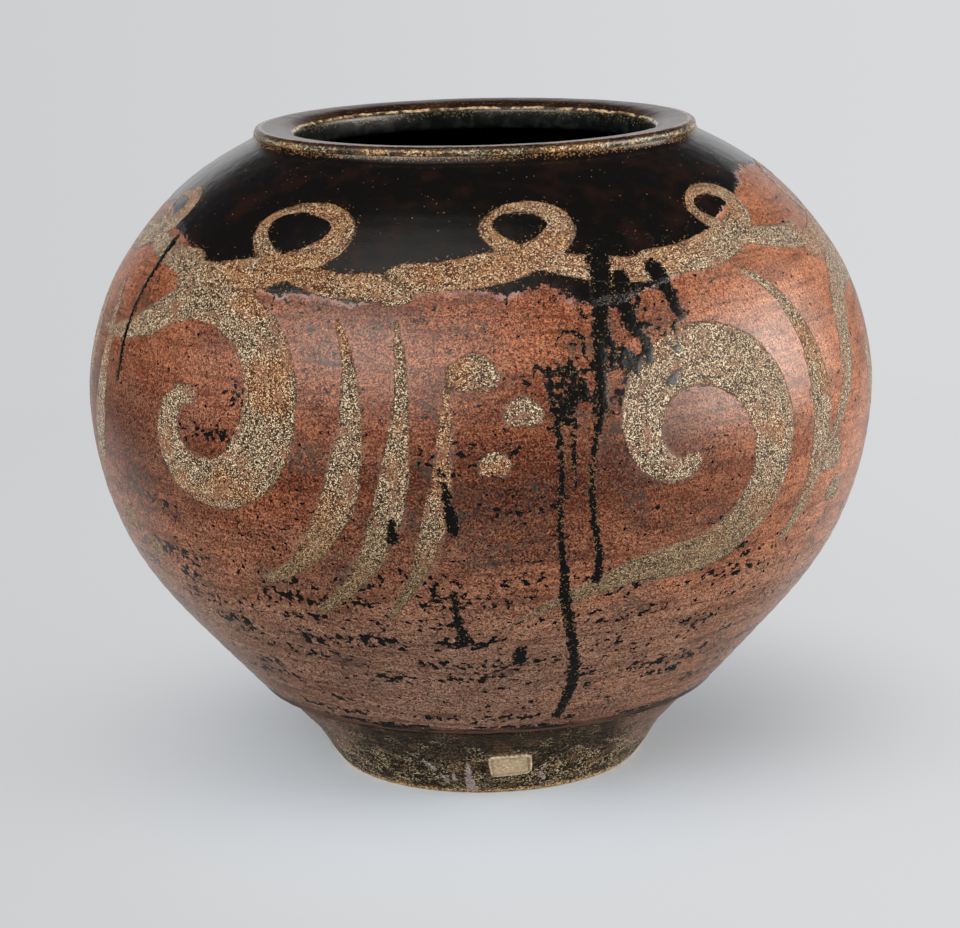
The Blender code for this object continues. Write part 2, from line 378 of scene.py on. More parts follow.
# %% Let the glaze run
RUNS = [
    ([(19.3, 214), (18.4, 204), (17.2, 193), (16.4, 183), (16.2, 174.8), (16, 165)],
     [4.2, 3.6, 2.4, 2.8, 2.2, 1.7]),
    ([(16, 165), (14.8, 155.2), (14.2, 141.4), (14.6, 127), (15.8, 111.6), (15.6, 104)],
     [1.6, .8, 1.1, 1.4, 1, 1.9]),
    ([(9, 179.2), (9.4, 169.4), (10, 156), (10.2, 142.2), (10, 127.9), (10.6, 112.9), (11.4, 96.9),
      (13.4, 79.2),
      (15.5, 62), (15.8, 50), (15, 41)], [1.4, .7, 1.4, .9, .7, 1.3, 1.4, 2.2, 1.6, 2.4, 1.6]),
    ([(11.8, 160), (11.9, 148), (12, 139)], [.6, 1, .5]),
    ([(-5.6, 147), (-4.8, 136.6), (-4.2, 125.7)], [.6, 1.4, 2.4]),
    ([(-12.2, 129), (-12.4, 121.7)], [.8, 2.3]),
    ([(-4.8, 102), (-4.2, 91), (-3.6, 81.6)], [1.1, 1.2, 1.8]),
    ([(5.2, 76), (5.2, 71)], [2.3, 2.6]),
    ([(21.8, 206), (21.5, 193.4), (22.4, 189.3), (23.6, 185.2), (23.5, 179.7)],
     [3.4, 2.2, 1.6, 1.7, 1.9]),
    ([(28.1, 208), (29.2, 199.7), (29.5, 193.5)], [3.8, 2.5, 1.6]),
    ([(7.4, 180), (10.2, 178.6), (12.2, 181)], [1.3, .9, 1.2]),
    ([(25.6, 172), (27, 173)], [1.4, 1.8]),
    ([(-62, 214), (-63, 190), (-62.6, 166)], [2, 1.1, 1.6]),
    ([(104, 215), (103, 188), (103.6, 160)], [2, 1, 1.7]),
    ([(129, 208), (130, 180), (129.5, 150), (130.1, 118)], [2.6, 1.4, .9, 1.6]),
    ([(152, 208), (151.4, 186)], [1.6, 1.9]),
    ([(-118, 214), (-118.6, 184), (-118, 152)], [2.2, 1, 1.9]),
    ([(-141, 206), (-140.4, 176), (-141, 133), (-140.6, 102)], [2.8, 1.3, .8, 1.7]),
    ([(-157, 203), (-156.6, 184)], [1.8, 2.1]),
]
LACE = [(21, 190, 13, 17), (13, 170, 6, 13), (133, 192, 10, 15), (-122, 196, 9, 14)]
run = body.blank()
for line, half_widths in RUNS:
    body.run(run, line, half_widths)
for place in LACE:
    away = body.off_spot(*place)
    threads = 1.4 - 15 * np.abs(drift(body.points * [1, 1, 0.7], 10, 15, 2))
    run = np.maximum(run, threads - 5 * np.maximum(away - 0.5, 0))
print("runs and drips:", len(RUNS))

# %% [markdown]
# ## The brushed ochre design
#
# A broad brush laid a pale ochre slip over the raw glaze. The design here is a plain old one.
# Round the belly go running scrolls, curls that each end in a long tail, with arcs that echo them
# and loose dots. Round the shoulder goes one looping line, drawn without lifting the brush. All
# are laid on the unrolled wall, in millimetres across and up.

# %% Brush the scrolls, arcs and dots
def curl(size, turn_way, lean):
    """A curl with its tail, as mm across and up from its heart, and its half-widths."""
    turn = np.linspace(0, 1, 22)
    sweep = turn_way * (lean + turn * 2 * math.pi * 1.02)
    reach = size * (0.18 + 0.82 * turn**0.9)
    across, up = reach * np.cos(sweep), reach * np.sin(sweep)
    tail = np.linspace(0.15, 1, 9)
    heading = np.array([across[-1] - across[-2], up[-1] - up[-2]])
    heading /= np.linalg.norm(heading)
    away = np.array([[across[-1]], [up[-1]]]) + heading[:, None] * tail * size * 1.2
    away += np.array([[heading[1]], [-heading[0]]]) * turn_way * size * 0.35 * tail**2
    across, up = np.append(across, away[0]), np.append(up, away[1])
    place = np.linspace(0, 1, len(across))
    return across, up, size * (0.07 + 0.2 * np.sin(math.pi * place**0.75)) * (1 - 0.9 * place**5)


def arc(radius, start, span, wide):
    """An arc about a curl's heart, with half-widths that swell and thin out."""
    sweep = np.radians(start + span * np.linspace(0, 1, 14))
    swell = np.sin(math.pi * np.linspace(0.04, 0.98, 14) ** 0.8)
    return radius * np.cos(sweep), radius * np.sin(sweep), 0.3 + wide * swell


CURLS = [(-42, 160, 44, 1, 2.2, 292), (29, 152, 46, -1, 1.6, -44), (80, 164, 40, 1, 2.9, 296),
         (122, 150, 42, -1, 0.5, 150),
         (166, 162, 42, 1, 2.2, 288), (-140, 150, 43, -1, 1.3, -46), (-92, 162, 41, 1, 2.8, 298)]
ARCS = [(1.44, 104, 6.6), (1.84, 88, 5.6), (2.20, 62, 4.2)]
DOTS = [(-1, 178, 5.4), (5.5, 165, 4.2), (1.5, 148, 3.6), (58, 132, 5.2), (61, 118, 4.2),
        (-64, 112, 4.8),
        (-58, 104, 3.8), (100, 114, 5), (144, 110, 4.6), (-116, 106, 5.2), (-170, 106, 4.6)]
slip = body.blank()
along, across = body.blank(0.0), body.blank(0.0)
for angle, height, size, turn_way, lean, arcs_from in CURLS:
    echoes = [arc(size * reach, arcs_from + (104 - span) / 2, span, wide) for reach, span,
              wide in ARCS]
    for dx, dy, half in [curl(size, turn_way, lean)] + echoes[:3 if angle == -42 else 1]:
        body.stroke(slip, *body.unrolled(angle, height, dx, dy), half, along, across)
for angle, height, half in DOTS:
    body.stroke(slip, *body.unrolled(angle, height, [-half * .6, 0, half * .6], [0, half * .3, 0]),
                [half, half * 1.15, half], along, across)
print("curls:", len(CURLS), "on", round(100 * float(np.mean(slip > 0))), "% of the skin")

# %% [markdown]
# ## The looping line
#
# The brush went round the shoulder while the wheel turned slowly. Each loop is a circle that is
# pulled along, and the loops differ a little in size and height, as a hand makes them.

# %% Loop a line round the shoulder
LOOPS = 9
for loop in range(LOOPS):
    turn = np.linspace(loop, loop + 1, 30)
    bigger = 1 + 0.12 * math.sin(2.4 * loop)
    angle = -172 + 360 / LOOPS * turn + 15.5 * bigger * np.sin(2 * math.pi * turn)
    climb = body.climb_at(219) + 15 * bigger * -np.cos(2 * math.pi * turn)
    climb += 2 * math.sin(1.7 * loop)
    body.stroke(slip, angle, climb, 4.2 + 2.6 * np.sin(2 * math.pi * turn + 0.6), along, across)
print("loops round the shoulder:", LOOPS)

# %% [markdown]
# ## Pits and hazy patches
#
# Gas left small black pits in the rust glaze. They line up along the throwing grooves of the lower
# wall, and a few clusters sit higher. Thin blue-grey hazes lie beside them. Both are densities
# from 0 to 1 here. The finish later draws the pits themselves, which are finer than the grid. Three
# more fields say where the red turns deep, browner (low down) or salmon (towards the sides). The
# deep red is partly painted shade on the left side, and the salmon is partly painted light on the
# sides that face the lamps.

# %% Set how dense the pits and hazes are
def bell(values, middle, spread):
    """1 at the middle, fading to 0 on both sides of it."""
    return np.exp(-((values - middle) / spread) ** 2)


PIT_ROWS = [(104, 5, .8), (97, 4, .85), (88, 4, .6), (80, 4.6, .9), (71, 3.4, .7), (62, 3.6, .8),
            (54, 3, .8),
            (47, 2.6, .9), (40, 2, .9)]
PIT_CLUSTERS = [(-32.5, 168, 5, 5, 1), (-29, 165, 4, 3, .8), (-36, 154, 9, 5, .8),
                (-51, 125, 6, 4, .7),
                (12, 172, 6, 11, .9), (26, 176, 6, 9, .8), (-2, 152, 9, 8, .6), (4, 134, 7, 7, .6),
                (19, 168, 5, 9, .9),
                (-14, 107, 8, 3, .8), (40, 120, 8, 5, .6), (95, 130, 14, 6, .7),
                (140, 120, 12, 8, .7),
                (-110, 128, 12, 6, .8), (-165, 110, 14, 5, .7)]
pitting = body.blank(0.0) + 0.17 + 0.2 * drift(body.points, 30, 8, 2)
for level, spread, strength in PIT_ROWS:
    patchy = ramp(drift(body.points * [1, 1, 0.5], 15, int(level), 2), -0.35, 0.25)
    wander = level + 2.2 * drift(body.points * [1, 1, 0], 60, int(level) + 3)
    pitting = np.maximum(pitting, strength * patchy * bell(body.heights, wander, spread))
for *place, strength in PIT_CLUSTERS:
    pitting = np.maximum(pitting, strength * np.exp(-body.off_spot(*place)))
HAZES = [(-58, 128, 7, 16, 1), (-6, 130, 12, 12, .8), (20, 158, 8, 14, .8), (-24, 196, 8, 8, .6),
         (34, 120, 9, 10, .6),
         (100, 150, 14, 14, .8), (150, 136, 12, 18, .8), (-125, 140, 12, 16, .8)]
haze = 0.75 * ramp(drift(body.points * [1, 1, 1.5], 17, 12, 2), 0.05, 0.6)
for *place, strength in HAZES:
    haze = np.maximum(haze, strength * np.exp(-body.off_spot(*place)))
deep_red_and_shade = bell(body.heights, 141, 25) * bell(body.angles, 6, 34)
# Partly painted shade: round bearing -60 on the left, the deep red also stands in for shade.
deep_red_and_shade += bell(body.heights, 150, 19) * bell(body.angles, -60, 18)
deep_red_and_shade = np.clip(0.9 * deep_red_and_shade + 0.4 * ramp(drift(body.points * [1, 1, 1.6], 48, 14, 2), 0, .6), 0, 1)
tone = 0.35 * ramp(-body.heights, -134, -112) + 0.6 * ramp(-body.heights, -112, -76)
tone += 0.5 * ramp(drift(body.points * [1, 1, 1.4], 42, 16, 2), 0, 0.5)
# Partly painted light: the sides round bearings 60 and -90, which face the lamps, are painted
# salmon and lighter, as well as having the glaze's own salmon.
salmon_and_side_light = 0.8 * bell(body.angles, 60, 30) + 0.9 * bell(body.angles, -90, 12)
salmon_and_side_light += 0.5 * bell(body.angles, 68, 16) * ramp(body.heights, 158, 182)
salmon_and_side_light = np.clip(salmon_and_side_light + 0.45 * ramp(drift(body.points * [1, 1, 1.3], 34, 18, 2), 0.05, 0.6), 0, 1)
salmon_and_side_light *= 1 - 0.55 * ramp(-body.heights, -106, -78)
quiet = bell(body.angles, 60, 20) * ramp(body.heights, 66, 84)
quiet += (0.8 * bell(body.angles, 10, 17) * ramp(body.heights, 82, 92)
          * ramp(-body.heights, -116, -108))
pitting *= 1 - 0.5 * quiet
haze *= 1 - 0.9 * bell(body.angles, 66, 24) * ramp(body.heights, 150, 172)
crease = body.climb[-1] - body.climbs
print("mean pit density:", round(float(pitting.mean()), 2))

# %% [markdown]
# ## The relief of the wall
#
# Fingers left soft rings on the wall while it turned, the whole form is a little out of round, and
# the glaze adds its own height where it is thick. A fine groove was cut just above the foot, and
# black glaze caught in parts of it. All of it is taken away from the solid's surface and never
# added, so the jar keeps its size.

# %% Shape the relief
rings = np.sin(body.climbs / 6.6 * 2 * math.pi + 1.8 * drift(body.points * [1, 1, 0.2], 70, 20))
low_wall = ramp(-body.heights, -150, -70)
wall = 0.06 * rings * (0.3 + low_wall) + 0.09 * drift(body.points, 34, 21, 2)
thick = 0.16 * ramp(pool, -0.5, 1.4) + 0.2 * ramp(run, -0.6, 1.2) + 0.07 * ramp(slip, -0.3, 0.8)
lumps = 0.05 * drift(body.points, 5, 22, 2)
groove = np.exp(-((body.climbs - 3.4 - 0.5 * drift(body.points, 40, 24)) / 0.8) ** 2)
relief = np.minimum(0, wall + lumps + np.minimum(thick, 0.24) - 0.26) - 0.45 * groove
pitting = np.maximum(pitting, 2.6 * groove * ramp(drift(body.points, 13, 25, 2), -0.34, 0.04))
skin_points, skin_shading = body.shaped(relief)
print("relief from", round(float(relief.min()), 2), "to", round(float(relief.max()), 2), "mm")

# %% [markdown]
# ## One way to make every turned piece
#
# A turned piece is a stack of rings. Some rings are glazed skin, with relief and shading of their
# own, and the others close the piece behind it: the inner wall, the joint faces and the floor. The
# maker below joins any stack into one closed mesh and stores the glaze fields on its points. It
# also lays out a flat map for the colours: the skin in three strips of a third of the way round
# each, the front whole in the middle one, and the hidden rings on top.

# %% Build a piece from a stack of rings
MAP_EDGE = 0.004
INSIDE_SHARE = 0.12
SHARP = math.radians(42)


def shell(name, skin_grid, behind, fields, shading, inside=None):
    """A closed mesh from a grid of skin and the (radius, height) rings behind it."""
    columns = skin_grid.shape[1]
    stack = np.vstack([skin_grid, turned(behind, columns)])
    rows = len(stack)
    corner = np.arange(rows * columns).reshape(rows, columns)
    poles = np.flatnonzero(np.append(np.ones(len(skin_grid)), np.array(behind)[:, 0]) == 0)
    for pole in poles:
        corner[pole] = corner[pole, 0]
    kept = np.unique(corner)
    corner = np.searchsorted(kept, corner)

    faces, uv = [], []
    ups = np.append(lengths_along(stack[:, 0]), 0)
    ups[-1] = ups[-2] + np.linalg.norm(stack[0, 0] - stack[-1, 0])
    skin_top = ups[len(skin_grid) - 1]
    room = (1 - INSIDE_SHARE) / 3 - 2 * MAP_EDGE
    for low, column in np.ndindex(rows, columns):
        high, ahead = (low + 1) % rows, (column + 1) % columns
        strip = column * 3 // columns
        face, place = [], []
        for row, up, col, over in ((low, low, column, 0), (low, low, ahead, 1),
                                   (high, low + 1, ahead, 1),
                                   (high, low + 1, column, 0)):
            if corner[row, col] not in face:
                face.append(int(corner[row, col]))
                u = MAP_EDGE + (1 - 2 * MAP_EDGE) * ((column + over) * 3 / columns - strip)
                if low < len(skin_grid) - 1:
                    v = strip * (room + 2 * MAP_EDGE) + MAP_EDGE + room * ups[up] / skin_top
                else:
                    share = (ups[up] - skin_top) / (ups[-1] - skin_top)
                    v = 1 - INSIDE_SHARE * (1 - (strip + 0.05 + 0.9 * share) / 3)
                place.append((u, v))
        if len(face) > 2:
            faces.append(face)
            uv.extend(place)

    mesh = bpy.data.meshes.new(name)
    mesh.from_pydata((stack.reshape(-1, 3)[kept] / MM).tolist(), [], faces)
    mesh.polygons.foreach_set("use_smooth", np.ones(len(faces), bool))
    mesh.set_sharp_from_angle(angle=SHARP)
    for field, values in fields.items():
        behind_value = (inside or {}).get(field, values.min())
        full = np.full(len(kept), behind_value, np.float32)
        full[:values.size] = values.reshape(-1)
        mesh.attributes.new(field, "FLOAT", "POINT").data.foreach_set("value", full)
    mesh.uv_layers.new(name="OFBake").data.foreach_set("uv", np.array(uv, np.float32).reshape(-1))

    normals = np.zeros(len(mesh.loops) * 3, np.float32)
    mesh.corner_normals.foreach_get("vector", normals)
    normals = normals.reshape(-1, 3)
    skin_loops = (len(skin_grid) - 1) * columns * 4
    at_corner = np.zeros(skin_loops, np.int32)
    at_corner[:] = np.concatenate(faces[:skin_loops // 4])
    normals[:skin_loops] = shading.reshape(-1, 3)[at_corner]
    mesh.normals_split_custom_set(normals.tolist())

    piece = bpy.data.objects.new(name, mesh)
    scene.collection.objects.link(piece)
    print(name, "has", len(faces), "faces")
    return piece


# %% [markdown]
# ## The bowl and the shoulder
#
# The skin is now cut at the belly. Below it, the bowl closes over its rim, down the inner wall,
# across the floor and under the foot. Above it, the shoulder climbs to the crease, tucks under the
# lip and comes back down inside.

# %% Close the bowl
body_fields = {"pool": pool, "run": run, "slip": slip, "along": along, "across": across,
               "pitting": pitting, "haze": haze, "deep_red_and_shade": deep_red_and_shade, "tone": np.clip(tone, 0, 1),
               "salmon_and_side_light": salmon_and_side_light,
               "crease": crease}
body_fields = {name: values.reshape(len(skin_rows), COLUMNS) for name,
               values in body_fields.items()}
WALL_ROWS = 13
POURED_INSIDE = {"pool": 30.0, "pitting": 0.0, "crease": 90.0}

inner_at = next(i for i in range(belly_at + 1, len(bowl_section))
                if bowl_section[i][1] < belly_height - 5)
bowl_wall = smooth([(bowl_section[inner_at - 1][0], belly_height)] + bowl_section[inner_at:-2])
bowl_behind = [
    *spaced(bowl_wall, WALL_ROWS), *bowl_section[-2:], (0, bowl_section[-1][1]),
    (0, bowl_section[0][1]), *bowl_section[:ledge_at + 1],
]
bowl = shell("thrown_bowl", skin_points[:BOWL_ROWS], bowl_behind,
             {name: values[:BOWL_ROWS] for name, values in body_fields.items()},
             skin_shading[:BOWL_ROWS], POURED_INSIDE)

# %% Close the shoulder
neck_at = next(i for i in range(top_at + 1, len(shoulder_section))
               if shoulder_section[i][1] < shoulder_section[top_at][1] - 3)
shoulder_wall = smooth(shoulder_section[neck_at + 1:-3] + [(shoulder_section[-3][0], belly_height)])
CREASE = [(83.1, 244.6), (82.2, 244.0), (80.5, 243.3)]
shoulder_behind = [*CREASE, *shoulder_section[neck_at - 1:neck_at + 1],
                   *spaced(shoulder_wall, WALL_ROWS)]
shoulder = shell("domed_shoulder", skin_points[BOWL_ROWS - 1:], shoulder_behind,
                 {name: values[BOWL_ROWS - 1:] for name, values in body_fields.items()},
                 skin_shading[BOWL_ROWS - 1:], POURED_INSIDE)

# %% [markdown]
# ## The lip and the foot
#
# Both are rings, so their sections are closed loops. The lip's skin runs from its underside over
# the round edge and the sloping top, down into the mouth. The foot's skin runs from the standing
# rim up the flared side to the groove below the body.

# %% Turn the lip
LIP_COLUMNS, LIP_ROWS = 600, 58
MOUTH_EDGE_HEIGHT, MOUTH_EDGE_WITHIN = 245.2, 75


def rolled(loop, first):
    """A closed loop of points, started at another of them."""
    return loop[first:] + loop[:first]


lip_loop = rolled(lip_section, max(range(len(lip_section)), key=lambda i: lip_section[i][0]))
lowest = min(z for r, z in lip_section)
collar_at = next(i for i, (r, z) in enumerate(lip_loop) if z == lowest)
underside = lip_loop[collar_at + 2:]
lip_rows = spaced(smooth(underside + lip_loop[:collar_at + 1], 16), LIP_ROWS)
lip = Skin(lip_rows, LIP_COLUMNS)
off_edge = np.abs(lip_rows[:, 1] - MOUTH_EDGE_HEIGHT) + 100 * (lip_rows[:, 0] > MOUTH_EDGE_WITHIN)
mouth_edge = lip.climb[int(np.argmin(off_edge))]
inner_edge = lip.climbs - mouth_edge + 0.6 * drift(lip.points, 9, 40, 2)
outer_edge = lip.climbs - lip.climb[int(np.argmax(lip_rows[:, 0]))]
sag = 0.10 * drift(lip.points, 26, 41, 2) + 0.04 * drift(lip.points, 6, 42, 2)
lip_points, lip_shading = lip.shaped(np.minimum(0, sag - 0.12))
lip_ring = shell("rolled_lip", lip_points, lip_loop[collar_at + 1:collar_at + 2],
                 {"inner_edge": inner_edge.reshape(LIP_ROWS, -1),
                  "outer_edge": outer_edge.reshape(LIP_ROWS, -1)}, lip_shading)

# %% Turn the foot
FOOT_COLUMNS, FOOT_ROWS = 600, 52
foot_loop = rolled(foot_section, min(range(len(foot_section)), key=lambda i: foot_section[i]))
stand_at = max(i for i, (r, z) in enumerate(foot_loop) if z == 0)
foot_rows = spaced(smooth(foot_loop[stand_at:-3], 16), FOOT_ROWS)
foot = Skin(foot_rows, FOOT_COLUMNS)
scar = foot.blank()
SCARS = [([(-21, 15), (-18.5, 11.5)], [.8, 1.1]), ([(-16.5, 9), (-15, 6)], [.5, 1]),
         ([(-12.4, 10.5), (-12, 7)], [.4, .6]),
         ([(-6.8, 14.5), (-7.2, 8), (-6.4, 1.6)], [.5, 1.2, 2.2]),
         ([(18, 13), (17.4, 8), (18.6, 5.5)], [.4, .5, .8]),
         ([(-25, 19), (-23, 17)], [.5, .7]), ([(74, 14), (75, 6)], [.6, 1.1]),
         ([(140, 12), (141, 4)], [.5, 1.2]),
         ([(-132, 16), (-131, 9)], [.5, 1]), ([(-95, 8), (-94, 2)], [.6, 1.4])]
for line, half_widths in SCARS:
    foot.run(scar, line, half_widths)
wear = 0.12 * drift(foot.points, 22, 50, 2) + 0.05 * drift(foot.points, 4, 51, 2)
brushed = 0.05 * np.sin(foot.climbs / 2.3 * 2 * math.pi + 2 * drift(foot.points, 30, 52))
foot_relief = np.minimum(0, wear + brushed + 0.14 * ramp(scar, -.5, .5) - 0.22)
foot_points, foot_shading = foot.shaped(foot_relief)
foot_ring = shell("flared_foot", foot_points, foot_loop[-3:] + foot_loop[:stand_at],
                  {"scar": scar.reshape(FOOT_ROWS, -1)}, foot_shading)

# %% [markdown]
# ## The clay pad
#
# A small slab of pale clay was pressed onto the foot, just right of the front. Its border stands
# a little proud of the middle, and no edge of it is straight. It is left bare. It is drawn as a
# height over the foot's own surface, so it follows the flare, and its sides sink into the glaze.

# %% Press the pad on
PAD_SIZE = (16.6, 13.6)
pad_low, pad_high = (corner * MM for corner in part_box("seal_pad"))
pad_angle = math.degrees(math.asin((pad_low.x + pad_high.x) / 2 / 70))
across_line, up_line = np.linspace(-1.06, 1.06, 84), np.linspace(-1.06, 1.06, 66)
u, v = np.meshgrid(across_line * PAD_SIZE[0] / 2, up_line * PAD_SIZE[1] / 2)
angle_at, climb_at = foot.unrolled(pad_angle, (pad_low.z + pad_high.z) / 2, u, v)
pad_base = foot.at(angle_at, climb_at)
spot = np.stack([u, v, 0 * u], axis=-1)
lean = u + 0.12 * v + 0.42 * drift(spot, 5, 60, 2)
rise = v - 0.05 * u + 0.50 * drift(spot, 5, 61, 2)
edge_gap = np.minimum(PAD_SIZE[0] / 2 - 0.25 - np.abs(lean), PAD_SIZE[1] / 2 - 0.35 - np.abs(rise))
corner_cut = PAD_SIZE[0] / 2 + PAD_SIZE[1] / 2 - 2.3 - np.abs(lean) - np.abs(rise)
edge_gap = np.minimum(edge_gap, corner_cut)
border = ramp(edge_gap, 0.9, 1.7)
pad_height = (1.25 * ramp(edge_gap, -0.35, 0.35) - 0.5 * border
              + 0.10 * drift(spot, 1.6, 62, 2) * border - 0.3)
facing = np.cross(np.gradient(pad_base, axis=1), np.gradient(pad_base, axis=0))
facing /= np.linalg.norm(facing, axis=-1)[..., None]
front = pad_base + facing * pad_height[..., None]
back = pad_base - facing * 0.9
index = np.arange(u.size).reshape(u.shape)
rim = np.concatenate([index[0, :-1], index[:-1, -1], index[-1, :0:-1], index[:0:-1, 0]])
pad_faces = []
for sheet, step in ((index, 1), (index + index.size, -1)):
    quads = np.stack([sheet[:-1, :-1], sheet[:-1, 1:], sheet[1:, 1:], sheet[1:, :-1]], -1)
    pad_faces += quads.reshape(-1, 4)[:, ::step].tolist()
after = np.roll(rim, -1)
pad_faces += np.column_stack([rim, rim + index.size, after + index.size, after]).tolist()
pad_mesh = bpy.data.meshes.new("clay_pad")
pad_mesh.from_pydata((np.vstack([front.reshape(-1, 3), back.reshape(-1, 3)]) / MM).tolist(), [],
                     pad_faces)
pad_mesh.polygons.foreach_set("use_smooth", np.ones(len(pad_faces), bool))
pad_mesh.set_sharp_from_angle(angle=math.radians(60))
pad_border = pad_mesh.attributes.new("border", "FLOAT", "POINT")
pad_border.data.foreach_set("value", np.tile(edge_gap.reshape(-1), 2))
clay_pad = bpy.data.objects.new("clay_pad", pad_mesh)
scene.collection.objects.link(clay_pad)
print("pad at bearing", round(pad_angle, 1))

# %% [markdown]
# ## Which solid each piece stands for
#
# Each piece takes the place of one solid and keeps its size.

# %% Say what each piece stands for
for piece, node, slot in ((bowl, "lower_body", "rust_glaze"),
                          (shoulder, "upper_body", "shoulder_glaze"),
                          (lip_ring, "lip_ring", "lip_glaze"),
                          (foot_ring, "foot_ring", "foot_glaze"),
                          (clay_pad, "seal_pad", "pale_clay")):
    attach(piece, "root")
    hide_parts(node)

# %% [markdown]
# ## A way to write down a glaze
#
# Every finish here is a small network of nodes. Writing each node out would bury the idea, so a
# short helper adds a node, joins whatever it is given, and hands back the result. Lengths inside
# a finish are in millimetres too, so a speck of half a millimetre is written as 0.5.

# %% The helper for networks of nodes
class Recipe:
    """A network of nodes under construction; each method adds one node and returns its result."""

    def __init__(self, tree):
        self.tree = tree

    def put(self, socket, value):
        if isinstance(value, bpy.types.NodeSocket):
            self.tree.links.new(value, socket)
        elif hasattr(value, "__len__") and len(value) == 3 and socket.type == "RGBA":
            socket.default_value = (*value, 1)
        else:
            socket.default_value = value

    def vector(self, operation, a, b, output=0):
        node = self.tree.nodes.new("ShaderNodeVectorMath")
        node.operation = operation
        self.put(node.inputs[0], a)
        self.put(node.inputs[1], b)
        return node.outputs[output]

    def calc(self, operation, a, b=0.0, clamp=False):
        node = self.tree.nodes.new("ShaderNodeMath")
        node.operation, node.use_clamp = operation, clamp
        for socket, value in zip(node.inputs, (a, b)):
            self.put(socket, value)
        return node.outputs[0]

    def plus(self, *values):
        total = values[0]
        for value in values[1:]:
            total = self.calc("ADD", total, value)
        return total

    def times(self, *values):
        total = values[0]
        for value in values[1:]:
            total = self.calc("MULTIPLY", total, value)
        return total

    def together(self, x, y, z=0.0):
        node = self.tree.nodes.new("ShaderNodeCombineXYZ")
        for socket, value in zip(node.inputs, (x, y, z)):
            self.put(socket, value)
        return node.outputs[0]

    def apart(self, vector):
        node = self.tree.nodes.new("ShaderNodeSeparateXYZ")
        self.put(node.inputs[0], vector)
        return node.outputs

    def rise(self, value, low, high, to_low=0.0, to_high=1.0):
        """A soft step from to_low to to_high as the value goes from low to high."""
        node = self.tree.nodes.new("ShaderNodeMapRange")
        node.interpolation_type = "SMOOTHSTEP"
        for socket, number in zip(node.inputs, (value, low, high, to_low, to_high)):
            self.put(socket, number)
        return node.outputs[0]

    def shades(self, value, stops):
        """Colours along a value: stops are (position, colour)."""
        node = self.tree.nodes.new("ShaderNodeValToRGB")
        self.put(node.inputs[0], value)
        elements = node.color_ramp.elements
        while len(elements) < len(stops):
            elements.new(0.5)
        for element, (position, colour) in zip(elements, stops):
            element.position = position
            element.color = (*colour, 1)
        return node.outputs[0]

    def over(self, amount, under, top):
        """The colour `top` laid over `under` by amount."""
        node = self.tree.nodes.new("ShaderNodeMix")
        node.data_type = "RGBA"
        self.put(node.inputs["Factor"], amount)
        self.put(node.inputs[6], under)
        self.put(node.inputs[7], top)
        return node.outputs[2]

    def between(self, amount, low, high):
        """A number from low to high by amount."""
        node = self.tree.nodes.new("ShaderNodeMix")
        self.put(node.inputs["Factor"], amount)
        self.put(node.inputs[2], low)
        self.put(node.inputs[3], high)
        return node.outputs[0]


# %% The helper for finishes
class Finish(Recipe):
    """A material under construction."""

    def __init__(self, name):
        self.material = bpy.data.materials.new(name)
        self.material.use_nodes = True
        super().__init__(self.material.node_tree)
        self.shader = self.tree.nodes["Principled BSDF"]
        place = self.tree.nodes.new("ShaderNodeTexCoord").outputs["Object"]
        self.place = self.vector("MULTIPLY", place, (MM, MM, MM))

    def field(self, name):
        """A field that was stored on the mesh."""
        node = self.tree.nodes.new("ShaderNodeAttribute")
        node.attribute_name = name
        return node.outputs["Fac"]

    def stretched(self, place, stretch):
        place = place or self.place
        return place if stretch == (1, 1, 1) else self.vector("MULTIPLY", place, stretch)

    def cloud(self, size, detail=2.0, stretch=(1, 1, 1), rough=0.5, place=None):
        """Soft noise from 0 to 1 with lumps of `size` mm."""
        node = self.tree.nodes.new("ShaderNodeTexNoise")
        self.put(node.inputs["Vector"], self.stretched(place, stretch))
        self.put(node.inputs["Scale"], 1 / size)
        self.put(node.inputs["Detail"], detail)
        self.put(node.inputs["Roughness"], rough)
        return node.outputs["Fac"]

    def patches(self, size, detail, low, high, to_low=0.0, to_high=1.0):
        """Patches of `size` mm, where soft noise goes from low to high."""
        return self.rise(self.cloud(size, detail), low, high, to_low, to_high)

    def cells(self, size, stretch=(1, 1, 1)):
        """A random value for each crystal-like cell of `size` mm."""
        node = self.tree.nodes.new("ShaderNodeTexVoronoi")
        self.put(node.inputs["Vector"], self.stretched(None, stretch))
        self.put(node.inputs["Scale"], 1 / size)
        split = self.tree.nodes.new("ShaderNodeSeparateColor")
        self.put(split.inputs[0], node.outputs["Color"])
        return split.outputs[0]

    def bump(self, height_mm):
        """Relief too fine for the mesh, in mm."""
        node = self.tree.nodes.new("ShaderNodeBump")
        self.put(node.inputs["Distance"], 1 / MM)
        self.put(node.inputs["Height"], height_mm)
        self.put(self.shader.inputs["Normal"], node.outputs[0])

    def finish(self, colour, roughness, shine=(1, 1, 1)):
        self.put(self.shader.inputs["Base Color"], colour)
        self.put(self.shader.inputs["Roughness"], roughness)
        self.put(self.shader.inputs["Specular Tint"], shine)
        return self.material


# %% [markdown]
# ## Rust, black and ochre
#
# The body's glaze is one recipe with three faces. Thin, it is a rust red made of countless tan and
# dark red grains. Thick, it is a deep gloss black. Under the brush it breaks up into a salt-and-
# pepper of cream, gold and brown crystals. The fields stored on the mesh say where each lies, and
# fine noise added to them makes their edges ragged, as crystals do.

